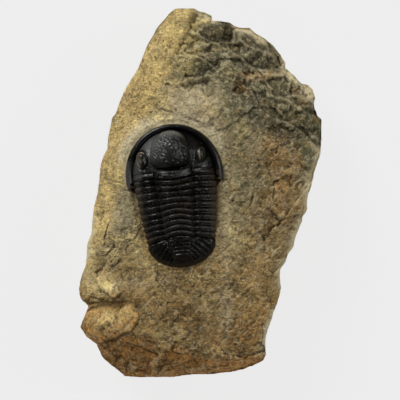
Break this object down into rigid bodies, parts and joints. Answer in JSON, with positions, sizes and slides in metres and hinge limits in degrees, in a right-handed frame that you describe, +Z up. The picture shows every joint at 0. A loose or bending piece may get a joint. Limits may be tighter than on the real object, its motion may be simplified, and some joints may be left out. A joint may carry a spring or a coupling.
{
  "type": "trilobite fossil on limestone matrix",
  "caption": "Black trilobite with head shield, jointed thorax and tail shield, lying exposed on the upper face of a loose, flat-based block of tan limestone.",
  "frame": {"origin": "centre of the box round the block at the level of its flat underside", "axes": "+Z up out of the face that carries the fossil, +Y towards the narrow end of the block and the head end of the animal, +X towards the animal's right side"},
  "size_m": [0.0424, 0.0646, 0.021],
  "materials": {
    "limestone": "matt, grainy, weathered tan to grey-olive with rust stains",
    "black_shell": "black calcite, semi-gloss, finely granular"
  },
  "bodies": {
    "root": {"matrix_rock": "limestone", "cephalon": "black_shell", "thorax_segment_01": "black_shell", "thorax_segment_02": "black_shell", "thorax_segment_03": "black_shell", "thorax_segment_04": "black_shell", "thorax_segment_05": "black_shell", "thorax_segment_06": "black_shell", "thorax_segment_07": "black_shell", "thorax_segment_08": "black_shell", "thorax_segment_09": "black_shell", "thorax_segment_10": "black_shell", "pygidium": "black_shell"}
  },
  "joints": []
}
